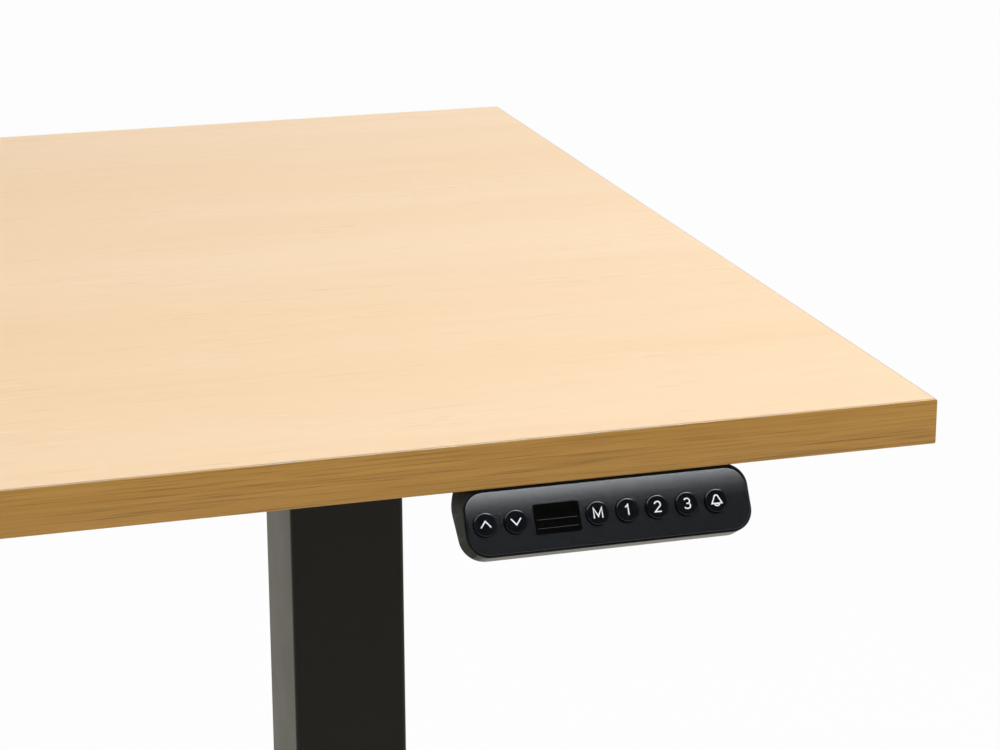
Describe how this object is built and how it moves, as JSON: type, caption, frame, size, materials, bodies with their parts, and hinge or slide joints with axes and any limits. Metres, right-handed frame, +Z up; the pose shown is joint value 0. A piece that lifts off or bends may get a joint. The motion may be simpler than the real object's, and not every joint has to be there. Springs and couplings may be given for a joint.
{
  "type": "height adjustable desk",
  "caption": "Height adjustable desk: rectangular wood-grain worktop on telescopic T-foot legs driven together by a motor and cross shaft, with a push-button handset under the front edge.",
  "frame": {"origin": "on the floor, under the middle of the whole desk at its lowest height", "axes": "+X to the user's right along the worktop, +Y from the front edge to the back, +Z up"},
  "size_m": [1.6, 0.7337, 0.725],
  "materials": {
    "worktop_laminate": "pale maple laminate, satin, fine grain along the width",
    "edge_band": "amber brown edge band, satin, fine dark grain",
    "black_coated_steel": "fine textured black powder coat",
    "zinc_steel": "zinc plated",
    "cast_aluminium": "as cast, matt",
    "motor_steel": "satin black",
    "bearing_steel": "ground and oiled",
    "shaft_steel": "drawn steel",
    "black_plastic": "matt moulded",
    "white_nylon": "natural nylon",
    "socket_plastic": "matt",
    "handset_plastic": "fine textured satin black",
    "display_plastic": "glossy smoked window",
    "button_plastic": "glossy blue black",
    "board_plastic": "green circuit board"
  },
  "bodies": {
    "base_left": {"outer_column_left": "black_coated_steel", "column_collar_left": "black_plastic", "push_tube_left": "shaft_steel", "spindle_nut_left": "white_nylon", "foot_left": "black_coated_steel", "foot_bolts_left": "zinc_steel"},
    "top": {"worktop_board": "worktop_laminate", "edge_band_front": "edge_band", "edge_band_rear": "edge_band", "edge_bands_ends": "edge_band", "tabletop_screws": "zinc_steel", "side_support_left": "black_coated_steel", "side_support_right": "black_coated_steel", "front_rail": "black_coated_steel", "rear_rail": "black_coated_steel", "frame_bolts": "zinc_steel", "head_bolts": "zinc_steel", "gearbox_left": "cast_aluminium", "gearbox_right": "cast_aluminium", "gearbox_lids": "cast_aluminium", "inner_column_left": "black_coated_steel", "inner_column_right": "black_coated_steel", "inner_column_glides": "white_nylon", "spindle_bearings": "bearing_steel", "motor_gear_housing": "cast_aluminium", "motor_can": "motor_steel", "motor_end_cap": "black_plastic", "control_box_body": "black_plastic", "control_box_lid": "black_plastic", "control_box_sockets": "socket_plastic", "handset_case": "handset_plastic", "handset_bezel": "handset_plastic", "display_window": "display_plastic", "handset_board": "board_plastic", "button_switches": "board_plastic"},
    "base_right": {"outer_column_right": "black_coated_steel", "column_collar_right": "black_plastic", "push_tube_right": "shaft_steel", "spindle_nut_right": "white_nylon", "foot_right": "black_coated_steel", "foot_bolts_right": "zinc_steel"},
    "drive_shaft": {"drive_shaft": "shaft_steel", "shaft_gears": "bearing_steel", "shaft_hub": "bearing_steel"},
    "spindle_left": {"spindle_left": "bearing_steel", "spindle_gear_left": "bearing_steel"},
    "spindle_right": {"spindle_right": "bearing_steel", "spindle_gear_right": "bearing_steel"},
    "leveller_left_front": {"leveller_left_front": "black_plastic"},
    "leveller_left_rear": {"leveller_left_rear": "black_plastic"},
    "leveller_right_front": {"leveller_right_front": "black_plastic"},
    "leveller_right_rear": {"leveller_right_rear": "black_plastic"},
    "button_up": {"button_up": "button_plastic"},
    "button_down": {"button_down": "button_plastic"},
    "button_memory": {"button_memory": "button_plastic"},
    "button_one": {"button_one": "button_plastic"},
    "button_two": {"button_two": "button_plastic"},
    "button_three": {"button_three": "button_plastic"},
    "button_bell": {"button_bell": "button_plastic"}
  },
  "joints": [
    {"name": "lift", "type": "slide", "parent": "base_left", "child": "top", "axis": [0, 0, 1], "range_m": [0, 0.45]},
    {"name": "right_leg", "type": "slide", "parent": "top", "child": "base_right", "axis": [0, 0, -1], "range_m": [0, 0.45]},
    {"name": "spindle_left_turn", "type": "hinge", "parent": "top", "child": "spindle_left", "pos_m": [-0.593, 0.00704, 0.678], "axis": [0, 0, 1], "range_deg": [0, 20251]},
    {"name": "spindle_right_turn", "type": "hinge", "parent": "top", "child": "spindle_right", "pos_m": [0.593, 0.00704, 0.678], "axis": [0, 0, 1], "range_deg": [-20251, 0]},
    {"name": "drive_shaft_turn", "type": "hinge", "parent": "top", "child": "drive_shaft", "pos_m": [0, 0.00704, 0.678], "axis": [1, 0, 0], "range_deg": [0, 20251]},
    {"name": "leveller_left_front_slide", "type": "slide", "parent": "base_left", "child": "leveller_left_front", "axis": [0, 0, -1], "range_m": [0, 0.012]},
    {"name": "leveller_left_rear_slide", "type": "slide", "parent": "base_left", "child": "leveller_left_rear", "axis": [0, 0, -1], "range_m": [0, 0.012]},
    {"name": "leveller_right_front_slide", "type": "slide", "parent": "base_right", "child": "leveller_right_front", "axis": [0, 0, -1], "range_m": [0, 0.012]},
    {"name": "leveller_right_rear_slide", "type": "slide", "parent": "base_right", "child": "leveller_right_rear", "axis": [0, 0, -1], "range_m": [0, 0.012]},
    {"name": "button_up_press", "type": "slide", "parent": "top", "child": "button_up", "axis": [0, 0.866, -0.5], "range_m": [0, 0.0008], "stiffness_N_per_m": 1500, "springref_m": -0.0004},
    {"name": "button_down_press", "type": "slide", "parent": "top", "child": "button_down", "axis": [0, 0.866, -0.5], "range_m": [0, 0.0008], "stiffness_N_per_m": 1500, "springref_m": -0.0004},
    {"name": "button_memory_press", "type": "slide", "parent": "top", "child": "button_memory", "axis": [0, 0.866, -0.5], "range_m": [0, 0.0008], "stiffness_N_per_m": 1500, "springref_m": -0.0004},
    {"name": "button_one_press", "type": "slide", "parent": "top", "child": "button_one", "axis": [0, 0.866, -0.5], "range_m": [0, 0.0008], "stiffness_N_per_m": 1500, "springref_m": -0.0004},
    {"name": "button_two_press", "type": "slide", "parent": "top", "child": "button_two", "axis": [0, 0.866, -0.5], "range_m": [0, 0.0008], "stiffness_N_per_m": 1500, "springref_m": -0.0004},
    {"name": "button_three_press", "type": "slide", "parent": "top", "child": "button_three", "axis": [0, 0.866, -0.5], "range_m": [0, 0.0008], "stiffness_N_per_m": 1500, "springref_m": -0.0004},
    {"name": "button_bell_press", "type": "slide", "parent": "top", "child": "button_bell", "axis": [0, 0.866, -0.5], "range_m": [0, 0.0008], "stiffness_N_per_m": 1500, "springref_m": -0.0004}
  ],
  "couplings": [
    {"joint": "right_leg", "follows": "lift", "ratio": 1},
    {"joint": "spindle_left_turn", "follows": "lift", "rad_per_m": 785.4},
    {"joint": "spindle_right_turn", "follows": "lift", "rad_per_m": -785.4},
    {"joint": "drive_shaft_turn", "follows": "lift", "rad_per_m": 785.4}
  ]
}
